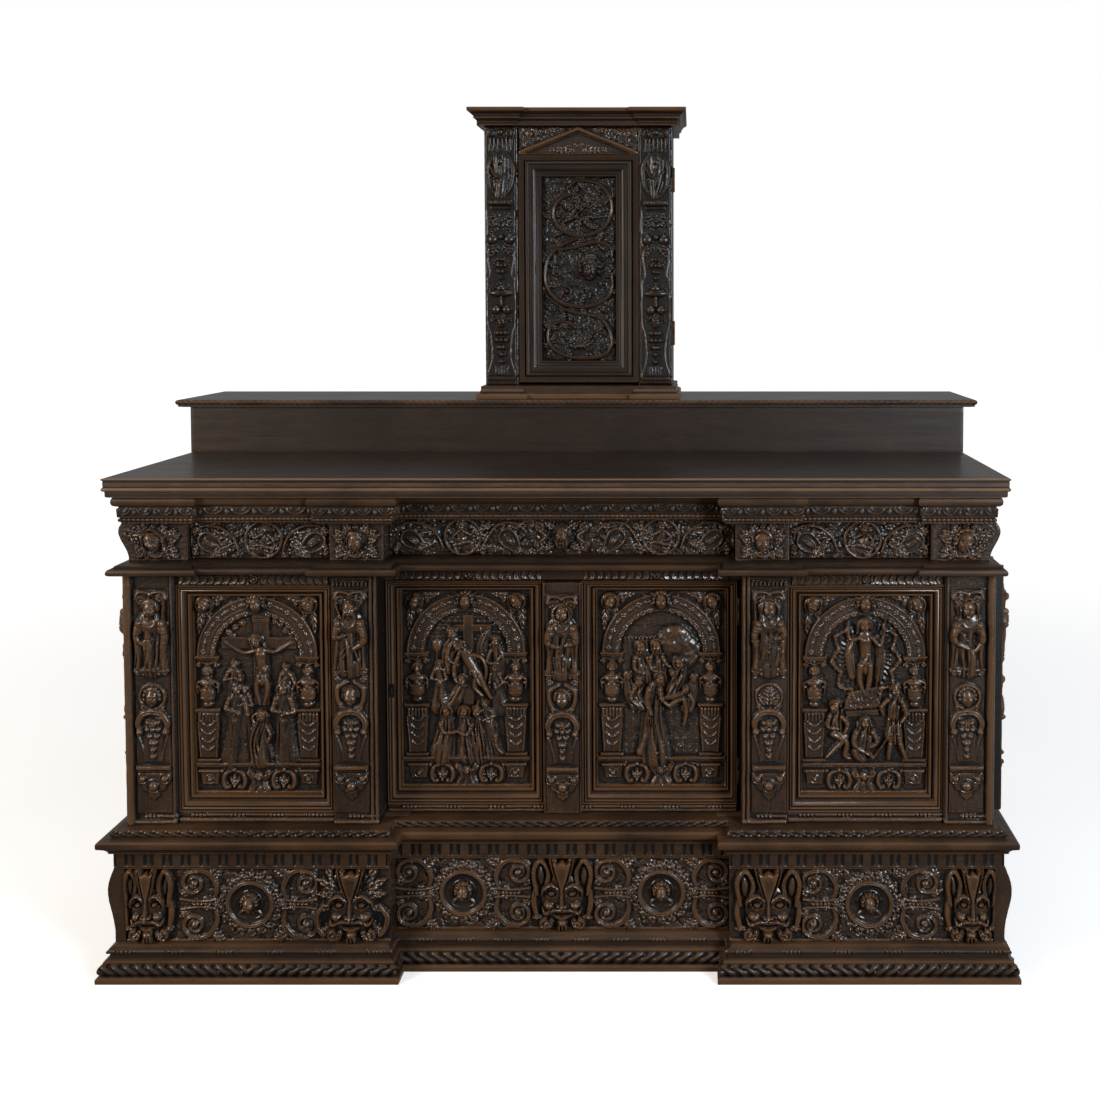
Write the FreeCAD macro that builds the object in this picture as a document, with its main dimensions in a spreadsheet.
import FreeCAD, Part
import os
import re

import Sketcher

# Communion table in carved oak, in the form of an altar: plinth and carved base, a
# cupboard storey with one wide door, a drawer storey, the mensa, a gradine and a
# tabernacle. Millimetres, +Z up, +X to the right, the front towards -Y. The origin is
# the middle of the footprint at floor level. Depths are written as insets, which are
# distances behind the front plane of the plinth.

DIMENSIONS = {
    # footprint and boards
    "half_width": 912, "half_depth": 330, "board": 22, "rail": 90, "ring": 66,
    "back_front": 630, "back_inset": 652, "break_step": 44, "block_inner": 314,
    # plinth, from the floor up
    "plinth_foot": 12, "plinth_rope": 36, "plinth_band": 50, "plinth_reel": 58, "plinth_top": 66,
    "plinth_rope_in": 2, "plinth_band_in": 14, "plinth_reel_in": 18, "plinth_top_in": 26,
    # carved base frieze with bombe ends
    "frieze_inset": 35, "frieze_inner": 338, "frieze_end": 866, "bombe_foot": 888,
    "bombe_widest": 907, "bombe_level": 142,
    # base cap, a ledge with a band of blocks below it and a rope above
    "cap_half": 906, "cap_bottom": 218, "cap_fillet": 225, "cap_blocks": 253, "cap_cove": 270,
    "cap_lip": 284, "case_floor": 298,
    "cap_fillet_in": 30, "cap_blocks_in": 24, "cap_cove_in": 14, "cap_rope_in": 22,
    # cupboard storey
    "case_half": 868, "case_front": 58, "case_top": 806, "corner_inner": 767, "corner_depth": 110,
    "post_inner": 362.5, "post_outer": 454, "post_depth": 140, "bead_radius": 9,
    "herm_outer_mid": 812, "herm_inner_mid": 417, "herm_half": 35, "herm_proud": 16,
    "side_strip": 17, "side_strip_width": 92, "side_strip_front": 114, "side_strip_back": 524,
    # fixed frames of the side bays
    "frame_inset": 60, "frame_thick": 26, "frame_stile": 27, "panel_bottom": 351,
    "panel_top": 756, "panel_recess": 12, "panel_thick": 12, "frame_bevel": 8,
    # centre door and the rail above it
    "rail_bottom": 777, "door_inset": 104, "door_thick": 30, "door_left": 360, "door_right": 355,
    "door_bottom": 300, "door_top": 775, "muntin_half": 65, "door_panel_half": 335,
    "door_panel_bottom": 346, "door_panel_top": 758, "door_herm_half": 38, "keyhole_across": 349,
    "keyhole_level": 551, "keyhole_radius": 3, "keyhole_drop": 12, "lock_reach": 14,
    "lock_width": 40, "lock_height": 70, "lock_thick": 12, "lock_edge": 2,
    # butt hinges
    "hinge_across": 358.5, "hinge_inset": 100, "knuckle": 3, "pin_radius": 1.5, "pin_play": 0.05,
    "hinge_half": 28, "leaf_width": 25, "leaf_thick": 1.5, "leaf_clear": 3.6, "hinge_low": 385,
    "hinge_high": 715, "knuckle_play": 0.4,
    # waist board, its front broken forward over the posts
    "waist_half": 880, "waist_top": 829, "waist_lip": 10, "bay_set_back": 12,
    "end_break": 706, "inner_break": 490,
    # drawer storey
    "console_front": 48, "console_depth": 150, "console_end": 739, "console_foot": 856,
    "console_scroll": 872, "console_scroll_level": 880, "console_head": 862,
    "console_inner": 350, "console_bay": 457, "guide": 12, "drawer_play": 1.5,
    "drawer_front_in": 64, "drawer_board": 20, "drawer_wall": 10, "drawer_depth": 560,
    "drawer_side_top": 895, "drawer_top": 906.5, "centre_set_back": 32,
    # entablature and mensa
    "lunette_bottom": 908, "lunette_top": 941, "ovolo_top": 962, "lunette_half": 864,
    "ovolo_half": 871, "lunette_front": 30, "ovolo_front": 18, "entablature_depth": 130,
    "mensa_half": 882, "mensa_front": 5, "mensa_back": 656, "mensa_top": 1000, "mensa_foot": 972,
    "mensa_bead": 983, "mensa_foot_in": 6, "mensa_fascia_in": 3,
    # gradine
    "gradine_half": 883, "gradine_front": 405, "gradine_top": 1104, "shelf_top": 1121,
    "shelf_half": 911, "shelf_front": 390, "shelf_back": 660, "shelf_ovolo": 11,
    # tabernacle
    "tab_half": 216.5, "tab_back": 650, "tab_base_half": 235, "tab_base_front": 430,
    "tab_step": 1136, "tab_step_in": 8, "tab_floor": 1150, "tab_top": 1748,
    "tab_front": 451, "tab_door_thick": 26, "tab_play": 1.5, "tab_jamb": 141,
    "tab_door_left": 138.5, "tab_joint": 139, "tab_pilaster_proud": 6, "tab_pilaster_margin": 8,
    "tab_panel_half": 86, "tab_panel_bottom": 1207, "tab_panel_top": 1633, "tab_panel_recess": 14,
    "tab_panel_thick": 10, "tab_cornice_half": 249, "tab_cornice_front": 414,
    "tab_cornice_low": 1760, "tab_cornice_mid": 1773, "tab_cornice_top": 1786,
    "tab_cornice_step": 12, "tab_hinge_across": 219.5,
    "tab_hinge_low": 1271, "tab_hinge_high": 1627, "tab_keyhole_across": 104,
    "tab_keyhole_level": 1420,
}

# Levels of the stepped mouldings: bottom, top and inset of each step.
PLINTH_STEPS = (
    ("0", "plinth_foot", "0"),
    ("plinth_foot", "plinth_rope", "plinth_rope_in"),
    ("plinth_rope", "plinth_band", "plinth_band_in"),
    ("plinth_band", "plinth_reel", "plinth_reel_in"),
    ("plinth_reel", "plinth_top", "plinth_top_in"),
)
CAP_STEPS = (
    ("cap_bottom", "cap_fillet", "cap_fillet_in"),
    ("cap_fillet", "cap_blocks", "cap_blocks_in"),
    ("cap_blocks", "cap_cove", "cap_cove_in"),
    ("cap_cove", "cap_lip", "0"),
    ("cap_lip", "case_floor", "cap_rope_in"),
)
SIDES = (("left", -1), ("right", 1))
WORD = re.compile(r"[a-z][a-z_]*")
TOUCH = 1e-6
NODES = []

doc = FreeCAD.newDocument("communion_table")
sheet = doc.addObject("Spreadsheet::Sheet", "Dims")
for row, (alias, value) in enumerate(DIMENSIONS.items(), start=1):
    sheet.set("A%d" % row, alias)
    sheet.set("B%d" % row, str(value))
    sheet.setAlias("B%d" % row, alias)
doc.recompute()


def cells(text):
    """An expression on the sheet's cells, as FreeCAD writes it."""
    return WORD.sub(lambda match: "Dims." + match.group(0), text)


def span(side, near, far):
    """Lowest and highest X of a stretch from near to far of the middle, on one side."""
    if side < 0:
        return "-(%s)" % far, "-(%s)" % near
    return near, far


def keep(thing, name):
    """A finished sub-part: its label becomes the name of its file."""
    thing.Label = name
    NODES.append(thing)
    return thing


def place(thing, across, inset, level):
    """Put an object's own origin at an X value, an inset and a height."""
    thing.setExpression("Placement.Base.x", cells(across))
    thing.setExpression("Placement.Base.y", cells("(%s) - half_depth" % inset))
    thing.setExpression("Placement.Base.z", cells(level))


def box(x_span, y_span, z_span):
    """A plain board between two X values, two insets and two heights."""
    thing = doc.addObject("Part::Box", "board")
    for side_name, (low, high) in zip(("Length", "Width", "Height"), (x_span, y_span, z_span)):
        thing.setExpression(side_name, cells("(%s) - (%s)" % (high, low)))
    place(thing, x_span[0], y_span[0], z_span[0])
    return thing


def rod(across, inset, radius, z_span):
    """An upright cylinder."""
    thing = doc.addObject("Part::Cylinder", "rod")
    thing.setExpression("Radius", cells(radius))
    thing.setExpression("Height", cells("(%s) - (%s)" % (z_span[1], z_span[0])))
    place(thing, across, inset, z_span[0])
    return thing


def fuse(*things):
    """One solid from several that touch or overlap."""
    joined = doc.addObject("Part::MultiFuse", "joined")
    joined.Shapes = list(things)
    joined.Refine = True
    return joined


def cut(base, tool):
    """The base without what the tool covers."""
    trimmed = doc.addObject("Part::Cut", "trimmed")
    trimmed.Base = base
    trimmed.Tool = tool
    trimmed.Refine = True
    return trimmed


def group(*things):
    """Separate solids that share one node."""
    gathered = doc.addObject("Part::Compound", "gathered")
    gathered.Links = list(things)
    return gathered


# ---------------------------------------------------------------- sketched bodies
def new_body(across, inset, level):
    """An empty body whose own origin sits at an X value, an inset and a height."""
    body = doc.addObject("PartDesign::Body", "body")
    place(body, across, inset, level)
    return body


def outline(body, plane, corners):
    """A closed sketch through corners, each a pair of expressions. A third item is the
    middle point of an arc that replaces the straight side starting at that corner."""
    sketch = body.newObject("Sketcher::SketchObject", "outline")
    support = next(part for part in body.Origin.OriginFeatures if part.Role == plane)
    sketch.AttachmentSupport = [(support, "")]
    sketch.MapMode = "FlatFace"

    def point(pair):
        values = [float(sheet.evalExpression(text)) for text in pair]
        return FreeCAD.Vector(values[0], values[1], 0)

    points = [point(corner[:2]) for corner in corners]
    count = len(corners)
    starts = []
    for index, corner in enumerate(corners):
        start, end = points[index], points[(index + 1) % count]
        if len(corner) == 3:
            curve = Part.Arc(start, point(corner[2]), end)
        else:
            curve = Part.LineSegment(start, end)
        sketch.addGeometry(curve, False)
        begins = sketch.getPoint(index, 1).distanceToPoint(start) < TOUCH
        starts.append(1 if begins else 2)
    for index in range(count):
        following = (index + 1) % count
        sketch.addConstraint(Sketcher.Constraint("Coincident", index, 3 - starts[index],
                                                 following, starts[following]))
    pinned = [(index, starts[index], corner[:2], points[index])
              for index, corner in enumerate(corners)]
    for index, corner in enumerate(corners):
        if len(corner) == 3:
            middle = point(corner[2])
            mark = sketch.addGeometry(Part.Point(middle), True)
            sketch.addConstraint(Sketcher.Constraint("PointOnObject", mark, 1, index))
            pinned.append((mark, 1, corner[2], middle))
    for item, position, texts, spot in pinned:
        for kind, text, value in zip(("DistanceX", "DistanceY"), texts, (spot.x, spot.y)):
            number = sketch.addConstraint(Sketcher.Constraint(kind, -1, 1, item, position, value))
            sketch.setExpression("Constraints[%d]" % number, cells(text))
    return sketch


def rectangle(x_span, z_span):
    """Corners of an upright rectangle."""
    (left, right), (low, high) = x_span, z_span
    return [(left, low), (right, low), (right, high), (left, high)]


def pad(body, sketch, length, backwards=False):
    """Raise a sketch into a solid; backwards is against the sketch's own normal."""
    feature = body.newObject("PartDesign::Pad", "pad")
    feature.Profile = sketch
    feature.Reversed = backwards
    feature.setExpression("Length", cells(length))
    doc.recompute()
    return feature


def pierce(body, sketch):
    """Cut a sketch right through the body, and make sure that it did cut."""
    before = body.Tip.Shape.Volume
    feature = body.newObject("PartDesign::Pocket", "opening")
    feature.Profile = sketch
    feature.Type = "ThroughAll"
    feature.Midplane = True
    doc.recompute()
    if feature.Shape.Volume > before - TOUCH:
        raise RuntimeError("an opening cut nothing")
    return feature


def bevel(body, amount, wanted):
    """Chamfer the edges of the body's last feature that the test picks out."""
    base = body.Tip
    names = ["Edge%d" % (number + 1)
             for number, edge in enumerate(base.Shape.Edges) if wanted(edge)]
    feature = body.newObject("PartDesign::Chamfer", "bevel")
    feature.Base = (base, names)
    feature.setExpression("Size", cells(amount))
    doc.recompute()
    return feature


def frame(x_span, z_span, inset, thick, openings):
    """A joined frame in the XZ plane, its openings bevelled on the front."""
    body = new_body("0", inset, "0")
    pad(body, outline(body, "XZ_Plane", rectangle(x_span, z_span)), thick, backwards=True)
    for opening in openings:
        pierce(body, outline(body, "XZ_Plane", rectangle(*opening)))
    box_of = body.Tip.Shape.BoundBox

    def on_front_opening(edge):
        spot = edge.BoundBox
        flat = abs(spot.YMax - box_of.YMin) < TOUCH
        inside = spot.XMin > box_of.XMin + TOUCH and spot.XMax < box_of.XMax - TOUCH
        return flat and inside and spot.ZMin > box_of.ZMin + TOUCH and spot.ZMax < box_of.ZMax - TOUCH

    bevel(body, "frame_bevel", on_front_opening)
    return body


def keyhole(body, across, level):
    """A round hole through a frame, with straight sides below it."""
    left, right = "%s - keyhole_radius" % across, "%s + keyhole_radius" % across
    foot = "%s - keyhole_drop" % level
    crown = (across, "%s + keyhole_radius" % level)
    pierce(body, outline(body, "XZ_Plane", [(left, foot), (right, foot), (right, level, crown),
                                            (left, level)]))


def panel(x_span, z_span, inset, thick):
    """A panel held in a frame's opening."""
    body = new_body("0", inset, "0")
    pad(body, outline(body, "XZ_Plane", rectangle(x_span, z_span)), thick, backwards=True)
    return body


# ---------------------------------------------------------------- base
def corner_moulding(side, steps, half, back):
    """The stepped moulding of one side block: across its front and back along the end."""
    parts = []
    for low, high, inset in steps:
        outer = "%s - %s" % (half, inset)
        parts.append(box(span(side, "block_inner", outer), (inset, "rail"), (low, high)))
        parts.append(box(span(side, "%s - ring" % half, outer), ("rail", "back_front"), (low, high)))
    return fuse(*parts)


def centre_moulding(steps):
    """The same moulding across the recessed middle bay."""
    parts = []
    for low, high, inset in steps:
        y_span = ("break_step + %s" % inset, "break_step + rail")
        parts.append(box(("-block_inner", "block_inner"), y_span, (low, high)))
    return fuse(*parts)


def base_frieze(side):
    """The carved board of a side block, with the short return at its inner end."""
    levels = ("plinth_top", "cap_bottom")
    board = box(span(side, "frieze_inner", "frieze_end"),
                ("frieze_inset", "frieze_inset + board"), levels)
    inner_return = box(span(side, "frieze_inner", "frieze_inner + board"),
                       ("frieze_inset + board", "frieze_inset + board + break_step"), levels)
    return fuse(board, inner_return)


def bombe_end(side):
    """The end board of the base, swelling outwards towards its top."""
    sign = "" if side > 0 else "-"
    body = new_body("0", "frieze_inset", "0")
    corners = [(sign + "frieze_end", "plinth_top"),
               (sign + "bombe_foot", "plinth_top", (sign + "bombe_widest", "bombe_level")),
               (sign + "bombe_foot", "cap_bottom"),
               (sign + "frieze_end", "cap_bottom")]
    pad(body, outline(body, "XZ_Plane", corners), "back_front - frieze_inset", backwards=True)
    return body


for word, hand in SIDES:
    keep(corner_moulding(hand, PLINTH_STEPS, "half_width", "back_front"), "plinth_" + word)
    keep(base_frieze(hand), "base_frieze_" + word)
    keep(bombe_end(hand), "base_end_" + word)
    keep(corner_moulding(hand, CAP_STEPS, "cap_half", "back_front"), "base_cap_" + word)
keep(centre_moulding(PLINTH_STEPS), "plinth_centre")
keep(box(("-frieze_inner", "frieze_inner"),
         ("frieze_inset + break_step", "frieze_inset + break_step + board"),
         ("plinth_top", "cap_bottom")), "base_frieze_centre")
keep(centre_moulding(CAP_STEPS), "base_cap_centre")

# ---------------------------------------------------------------- cupboard carcase
FLOOR_LEVELS = ("case_floor - board", "case_floor")
keep(fuse(box(("ring - cap_half", "cap_half - ring"), ("break_step + rail", "back_front"),
              FLOOR_LEVELS),
          *[box(span(hand, "block_inner", "cap_half - ring"), ("rail", "break_step + rail"),
                FLOOR_LEVELS) for _, hand in SIDES]), "cupboard_floor")
keep(box(("-case_half", "case_half"), ("back_front", "back_inset"), ("0", "ovolo_top")),
     "back_board")


def case_side(side):
    """The side of the cupboard, with a carved strip near its front and back corners."""
    levels = ("case_floor", "case_top")
    parts = [box(span(side, "case_half - board", "case_half"), ("corner_depth", "back_front"),
                 levels)]
    for start in ("side_strip_front", "side_strip_back"):
        parts.append(box(span(side, "case_half", "case_half + side_strip"),
                         (start, start + " + side_strip_width"), levels))
    return fuse(*parts)


def post(side, corners):
    """An upright post, from its plan drawn on the right-hand side of the table."""
    body = new_body("0", "0", "case_floor")
    sign = "" if side > 0 else "-"

    def across(pair):
        return ("%s(%s)" % (sign, pair[0]), pair[1])

    plan = [across(corner) + tuple(across(pair) for pair in corner[2:]) for corner in corners]
    pad(body, outline(body, "XY_Plane", plan), "case_top - case_floor")
    return body


def herm_step(middle):
    """Plan of the raised strip that carries a herm, left to right."""
    face = "case_front - herm_proud"
    return [("%s - herm_half" % middle, "case_front"), ("%s - herm_half" % middle, face),
            ("%s + herm_half" % middle, face), ("%s + herm_half" % middle, "case_front")]


INNER_POST = ([("post_inner", "case_front")] + herm_step("herm_inner_mid")
              + [("post_outer", "case_front"), ("post_outer", "post_depth"),
                 ("post_inner", "post_depth")])
CORNER_POST = ([("corner_inner", "case_front")] + herm_step("herm_outer_mid")
               + [("case_half - 2 * bead_radius", "case_front",
                   ("case_half - bead_radius", "case_front - bead_radius")),
                  ("case_half", "case_front"), ("case_half", "corner_depth"),
                  ("corner_inner", "corner_depth")])

for word, hand in SIDES:
    keep(case_side(hand), "case_side_" + word)
    keep(post(hand, CORNER_POST), "corner_herm_post_" + word)
    keep(post(hand, INNER_POST), "inner_herm_post_" + word)
    opening = (span(hand, "post_outer + frame_stile", "corner_inner - frame_stile"),
               ("panel_bottom", "panel_top"))
    keep(frame(span(hand, "post_outer", "corner_inner"), ("case_floor", "case_top"),
               "frame_inset", "frame_thick", [opening]), "side_frame_" + word)
    keep(panel(*opening, "frame_inset + panel_recess", "panel_thick"), "side_panel_" + word)
keep(box(("-post_inner", "post_inner"), ("door_inset", "door_inset + door_thick"),
         ("rail_bottom", "case_top")), "door_rail")


# ---------------------------------------------------------------- hinges and locks
def leaf(x_span, way, axis_inset, levels, own_levels):
    """A hinge plate that runs from the pin's line forwards (-1) or backwards (1)."""
    near, far = "leaf_clear", "leaf_width"
    if way > 0:
        plate = ("%s + %s" % (axis_inset, near), "%s + %s" % (axis_inset, far))
        neck = (axis_inset, "%s + %s" % (axis_inset, near))
    else:
        plate = ("%s - %s" % (axis_inset, far), "%s - %s" % (axis_inset, near))
        neck = ("%s - %s" % (axis_inset, near), axis_inset)
    return [box(x_span, plate, levels), box(x_span, neck, own_levels)]


def hinge(across, inset, level, fixed, moving):
    """One butt hinge: the fixed half with its pin, and the half that the door carries."""
    low, high = "%s - hinge_half" % level, "%s + hinge_half" % level
    upper = ("%s + knuckle_play" % level, high)
    lower = (low, level)
    fixed_half = fuse(rod(across, inset, "knuckle", upper), rod(across, inset, "pin_radius",
                                                                (low, high)),
                      *leaf(fixed[0], fixed[1], inset, (low, high), upper))
    barrel = fuse(rod(across, inset, "knuckle", lower),
                  *leaf(moving[0], moving[1], inset, (low, high), lower))
    bore = rod(across, inset, "pin_radius + pin_play", (low, level))
    return fixed_half, cut(barrel, bore)


def hinge_pair(across, inset, levels, fixed, moving, names):
    """Two hinges on one line; their fixed halves share a node, and so do the moving ones."""
    halves = [hinge(across, inset, level, fixed, moving) for level in levels]
    keep(group(*[half[0] for half in halves]), names[0])
    keep(group(*[half[1] for half in halves]), names[1])


def box_lock(across, inset, level):
    """A lock case with its wider face plate, screwed to the back of a stile."""
    half, tall = "lock_width / 2", "lock_height / 2"
    plate = box(("%s - %s" % (across, half), "%s + %s" % (across, half)),
                (inset, "%s + lock_edge" % inset),
                ("%s - %s" % (level, tall), "%s + %s" % (level, tall)))
    case = box(("%s - %s + lock_edge" % (across, half), "%s + %s - lock_edge" % (across, half)),
               ("%s + lock_edge" % inset, "%s + lock_thick" % inset),
               ("%s - %s + lock_edge" % (level, tall), "%s + %s - lock_edge" % (level, tall)))
    return fuse(plate, case)


# ---------------------------------------------------------------- centre door
door_openings = [(span(hand, "muntin_half", "door_panel_half"),
                  ("door_panel_bottom", "door_panel_top")) for _, hand in SIDES]
door_frame = frame(("-door_left", "door_right"), ("door_bottom", "door_top"),
                   "door_inset", "door_thick", door_openings)
keyhole(door_frame, "-keyhole_across", "keyhole_level")
keep(door_frame, "centre_door_frame")
for (word, _), opening in zip(SIDES, door_openings):
    keep(panel(*opening, "door_inset + panel_recess", "panel_thick"), "centre_door_panel_" + word)
keep(box(("-door_herm_half", "door_herm_half"), ("door_inset - herm_proud", "door_inset"),
         ("door_bottom", "door_top")), "centre_door_herm")
keep(box_lock("-keyhole_across + lock_reach", "door_inset + door_thick", "keyhole_level"),
     "centre_door_lock")
hinge_pair("hinge_across", "hinge_inset", ("hinge_low", "hinge_high"),
           (("post_inner - leaf_thick", "post_inner"), 1),
           (("door_right", "door_right + leaf_thick"), 1),
           ("centre_hinge_post_leaves", "centre_hinge_door_leaves"))


# ---------------------------------------------------------------- waist and drawers
def broken_front(half, inset, levels, back):
    """A board whose front edge steps forward over the posts and back over each bay."""
    parts = [box(("-(%s)" % half, half), ("%s + break_step" % inset, back), levels)]
    behind = "%s + break_step" % inset
    for _, side in SIDES:
        for near, far, depth in (("end_break", half, inset),
                                 ("inner_break", "end_break", "%s + bay_set_back" % inset),
                                 ("block_inner", "inner_break", inset)):
            parts.append(box(span(side, near, far), (depth, behind), levels))
    return parts


def end_console(side):
    """A scrolled block at the end of the drawer storey, with the end board and a guide."""
    sign = "" if side > 0 else "-"
    head = new_body("0", "console_front", "0")
    corners = [(sign + "console_end", "waist_top"),
               (sign + "console_foot", "waist_top",
                (sign + "console_scroll", "console_scroll_level")),
               (sign + "console_head", "lunette_bottom"),
               (sign + "console_end", "lunette_bottom")]
    pad(head, outline(head, "XZ_Plane", corners), "console_depth - console_front",
        backwards=True)
    levels = ("waist_top", "lunette_bottom")
    board = box(span(side, "console_foot - board", "console_foot"), ("console_depth", "back_front"),
                levels)
    guide = box(span(side, "console_end", "console_end + guide"), ("console_depth", "back_front"),
                levels)
    return fuse(head, board, guide)


def inner_console(side):
    """A block between two drawers, with the guides that run back from its two sides."""
    levels = ("waist_top", "lunette_bottom")
    head = box(span(side, "console_inner", "console_bay"), ("console_front", "console_depth"),
               levels)
    guides = [box(span(side, near, near + " + guide"), ("console_depth", "back_front"), levels)
              for near in ("console_inner", "console_bay - guide")]
    return fuse(head, *guides)


def drawer(name, x_span, front):
    """A drawer: its carved front board, and the box of sides, bottom and back behind it."""
    low = "waist_top + drawer_play"
    behind = "%s + drawer_board" % front
    left, right = "(%s) + drawer_play" % x_span[0], "(%s) - drawer_play" % x_span[1]
    keep(box((left, right), (front, behind), (low, "drawer_top")), name + "_front")
    outer = box((left, right), (behind, "drawer_depth"), (low, "drawer_side_top"))
    hollow = box((left + " + drawer_wall", right + " - drawer_wall"),
                 (behind, "drawer_depth - drawer_wall"),
                 (low + " + drawer_wall", "drawer_side_top"))
    keep(cut(outer, hollow), name + "_box")


keep(fuse(*broken_front("waist_half", "waist_lip", ("case_top", "waist_top"), "back_front")),
     "waist_board")
for word, hand in SIDES:
    keep(end_console(hand), "end_console_" + word)
    keep(inner_console(hand), "inner_console_" + word)
    drawer("drawer_" + word, span(hand, "console_bay", "console_end"), "drawer_front_in")
drawer("drawer_centre", ("-console_inner", "console_inner"), "drawer_front_in + centre_set_back")

# ---------------------------------------------------------------- entablature and mensa
entablature = []
for low, high, half, front in (("lunette_bottom", "lunette_top", "lunette_half", "lunette_front"),
                               ("lunette_top", "ovolo_top", "ovolo_half", "ovolo_front")):
    entablature += broken_front(half, front, (low, high), "entablature_depth")
    for _, hand in SIDES:
        entablature.append(box(span(hand, "%s - board" % half, half),
                               ("entablature_depth", "back_front"), (low, high)))
keep(fuse(*entablature), "entablature")

mensa = []
for low, high, inset in (("ovolo_top", "mensa_foot", "mensa_foot_in"),
                         ("mensa_foot", "mensa_bead", "0"),
                         ("mensa_bead", "mensa_top", "mensa_fascia_in")):
    mensa.append(box(("%s - mensa_half" % inset, "mensa_half - %s" % inset),
                     ("mensa_front + %s" % inset, "mensa_back"), (low, high)))
keep(fuse(*mensa), "mensa")

# ---------------------------------------------------------------- gradine
keep(box(("-gradine_half", "gradine_half"), ("gradine_front", "gradine_front + board"),
         ("mensa_top", "gradine_top")), "gradine_front")
keep(group(*[box(span(hand, "gradine_half - board", "gradine_half"),
                 ("gradine_front + board", "back_inset"), ("mensa_top", "gradine_top"))
             for _, hand in SIDES]), "gradine_ends")
keep(box(("board - gradine_half", "gradine_half - board"), ("back_front", "back_inset"),
         ("mensa_top", "gradine_top")), "gradine_back")


def gradine_shelf():
    """The shelf on the gradine, rounded along its front and its two ends."""
    body = new_body("0", "0", "gradine_top")
    sketch = outline(body, "XY_Plane", rectangle(("-shelf_half", "shelf_half"),
                                                 ("shelf_front", "shelf_back")))
    pad(body, sketch, "shelf_top - gradine_top")
    slab = body.Tip
    top, back = slab.Shape.BoundBox.ZMax, slab.Shape.BoundBox.YMax
    names = []
    for number, edge in enumerate(slab.Shape.Edges):
        spot = edge.BoundBox
        on_top = spot.ZMin > top - TOUCH
        if on_top and spot.YMin < back - TOUCH:
            names.append("Edge%d" % (number + 1))
    feature = body.newObject("PartDesign::Fillet", "ovolo")
    feature.Base = (slab, names)
    feature.setExpression("Radius", cells("shelf_ovolo"))
    doc.recompute()
    return body


keep(gradine_shelf(), "gradine_shelf")

# ---------------------------------------------------------------- tabernacle
keep(fuse(box(("-tab_base_half", "tab_base_half"), ("tab_base_front", "tab_back"),
              ("shelf_top", "tab_step")),
          box(("tab_step_in - tab_base_half", "tab_base_half - tab_step_in"),
              ("tab_base_front + tab_step_in", "tab_back"), ("tab_step", "tab_floor"))),
     "tabernacle_base")
TAB_BODY = ("tab_floor", "tab_top")
TAB_CASE_FRONT = "tab_front + tab_door_thick + tab_play"
for word, hand in SIDES:
    keep(box(span(hand, "tab_half - board", "tab_half"), (TAB_CASE_FRONT, "tab_back"), TAB_BODY),
         "tabernacle_side_" + word)
keep(box(("board - tab_half", "tab_half - board"), ("tab_back - board", "tab_back"), TAB_BODY),
     "tabernacle_back")
cornice = []
for low, high, inset in (("tab_top", "tab_cornice_low", "tab_cornice_step + tab_cornice_step"),
                         ("tab_cornice_low", "tab_cornice_mid", "tab_cornice_step"),
                         ("tab_cornice_mid", "tab_cornice_top", "0")):
    cornice.append(box(("%s - tab_cornice_half" % inset, "tab_cornice_half - (%s)" % inset),
                       ("tab_cornice_front + %s" % inset, "tab_back"), (low, high)))
keep(fuse(*cornice), "tabernacle_cornice")


def tab_pilaster(x_span, levels, back):
    """A pilaster of the tabernacle, its carved field standing proud."""
    board = box(x_span, ("tab_front", back), levels)
    field = box(("%s + tab_pilaster_margin" % x_span[0], "%s - tab_pilaster_margin" % x_span[1]),
                ("tab_front - tab_pilaster_proud", "tab_front"), levels)
    return fuse(board, field)


TAB_DOOR = ("tab_floor + tab_play", "tab_top - tab_play")
TAB_DOOR_BACK = "tab_front + tab_door_thick"
keep(tab_pilaster(("-tab_half", "-tab_jamb"), TAB_BODY, TAB_CASE_FRONT), "tabernacle_pilaster_left")
keep(tab_pilaster(("tab_joint", "tab_half"), TAB_DOOR, TAB_DOOR_BACK), "tabernacle_pilaster_right")
tab_opening = (("-tab_panel_half", "tab_panel_half"), ("tab_panel_bottom", "tab_panel_top"))
tab_frame = frame(("-tab_door_left", "tab_joint"), TAB_DOOR, "tab_front", "tab_door_thick",
                  [tab_opening])
keyhole(tab_frame, "-tab_keyhole_across", "tab_keyhole_level")
keep(tab_frame, "tabernacle_door_frame")
keep(panel(*tab_opening, "tab_front + tab_panel_recess", "tab_panel_thick"),
     "tabernacle_door_panel")
keep(box_lock("-tab_keyhole_across", TAB_DOOR_BACK, "tab_keyhole_level"), "tabernacle_lock")
hinge_pair("tab_hinge_across", TAB_CASE_FRONT + " - tab_play / 2", ("tab_hinge_low", "tab_hinge_high"),
           (("tab_half", "tab_half + leaf_thick"), 1), (("tab_half", "tab_half + leaf_thick"), -1),
           ("tabernacle_hinge_case_leaves", "tabernacle_hinge_door_leaves"))

# ---------------------------------------------------------------- checks and files
doc.recompute()
for thing in doc.Objects:
    if "Invalid" in thing.State or "Error" in thing.State:
        raise RuntimeError("%s (%s) failed to compute" % (thing.Name, thing.Label))
os.makedirs("parts", exist_ok=True)
for node in NODES:
    if node.Shape.isNull() or not node.Shape.isValid():
        raise RuntimeError("%s has no valid shape" % node.Label)
    node.Shape.exportStep(os.path.join("parts", node.Label + ".step"))
print(len(NODES), "sub-parts written")
